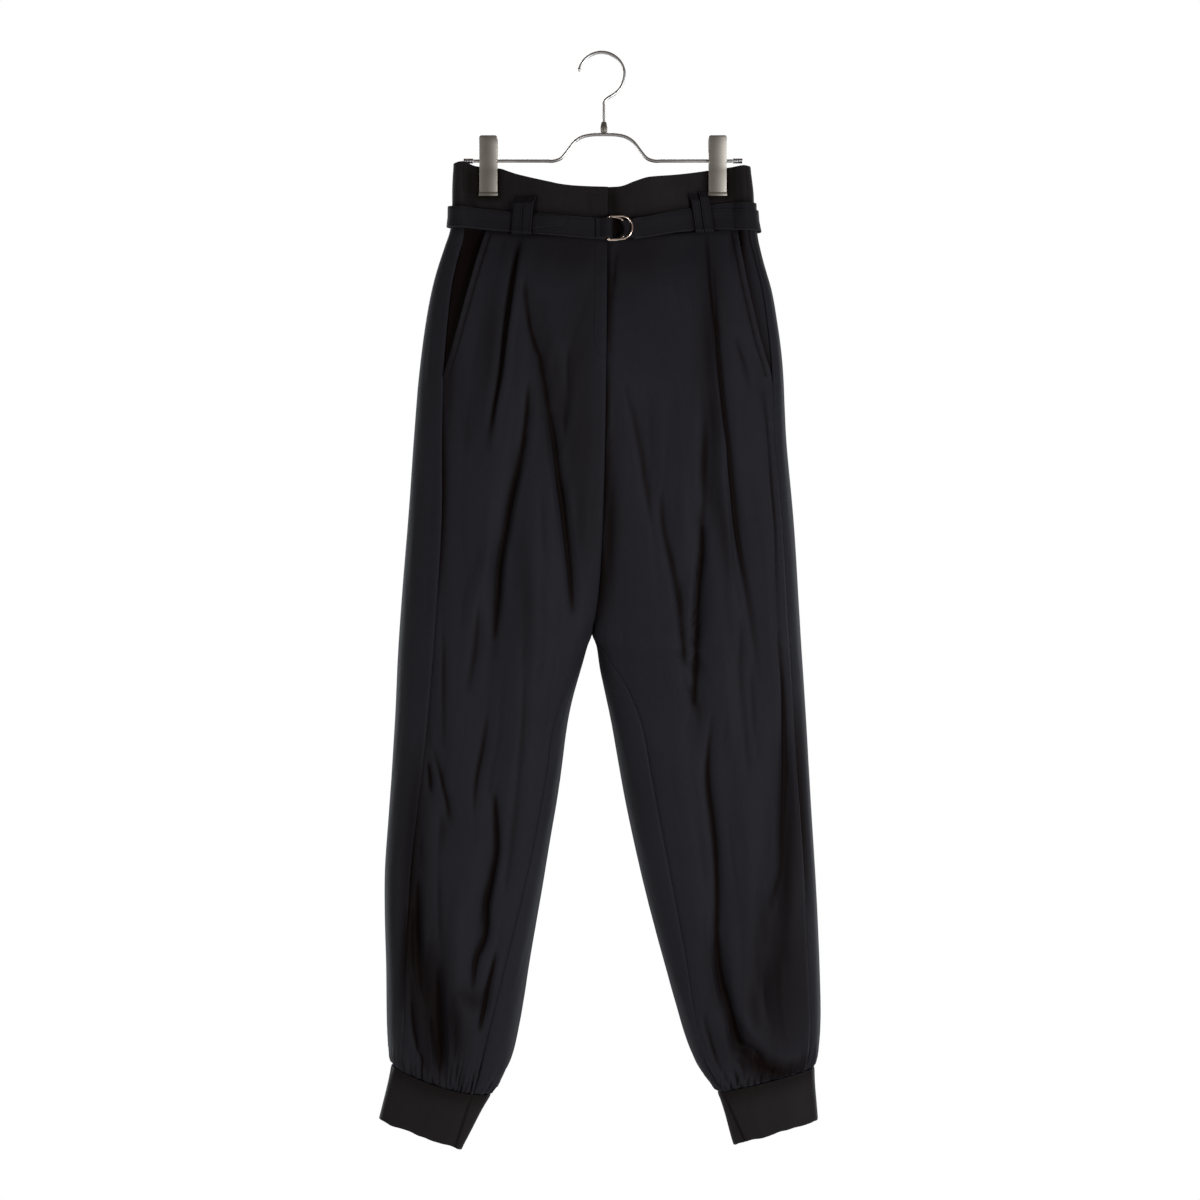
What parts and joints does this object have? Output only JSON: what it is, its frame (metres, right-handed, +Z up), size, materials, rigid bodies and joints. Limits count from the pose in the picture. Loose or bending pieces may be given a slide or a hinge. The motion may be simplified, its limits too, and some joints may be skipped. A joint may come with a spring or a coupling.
{
  "type": "joggers on a clip hanger",
  "caption": "High-waisted tapered joggers with pleats, ring belt and gathered cuffs, hanging from a metal clip hanger by its hook.",
  "frame": {"origin": "the point on the underside of the hanger's hook that bears on a rail", "axes": "+Z up along the hanging garment, -Y towards the garment's front, +X towards the wearer's left"},
  "size_m": [0.4414, 0.0903, 1.0981],
  "materials": {
    "cloth": "soft satin drape",
    "hanger_metal": "brushed, grey bronze",
    "ring_metal": "polished, pale bronze"
  },
  "bodies": {
    "root": {"front_panel_right": "cloth", "back_panel_right": "cloth", "pocket_facing_right": "cloth", "front_panel_left": "cloth", "back_panel_left": "cloth", "pocket_facing_left": "cloth", "fly_placket": "cloth", "waistband_front_right": "cloth", "waistband_front_left": "cloth", "waistband_back": "cloth", "cuff_right": "cloth", "cuff_left": "cloth", "belt_strap": "cloth", "belt_tail": "cloth", "ring_1": "ring_metal", "ring_2": "ring_metal", "loop_right_1": "cloth", "loop_right_2": "cloth", "loop_left_1": "cloth", "loop_left_2": "cloth", "loop_back_right": "cloth", "loop_back_left": "cloth", "hanger_hook": "hanger_metal", "hanger_ferrule": "hanger_metal", "hanger_bar": "hanger_metal", "bar_cap_right": "hanger_metal", "bar_cap_left": "hanger_metal", "clip_right_front": "hanger_metal", "clip_right_back": "hanger_metal", "clip_right_spring": "hanger_metal", "clip_left_front": "hanger_metal", "clip_left_back": "hanger_metal", "clip_left_spring": "hanger_metal"}
  },
  "joints": []
}
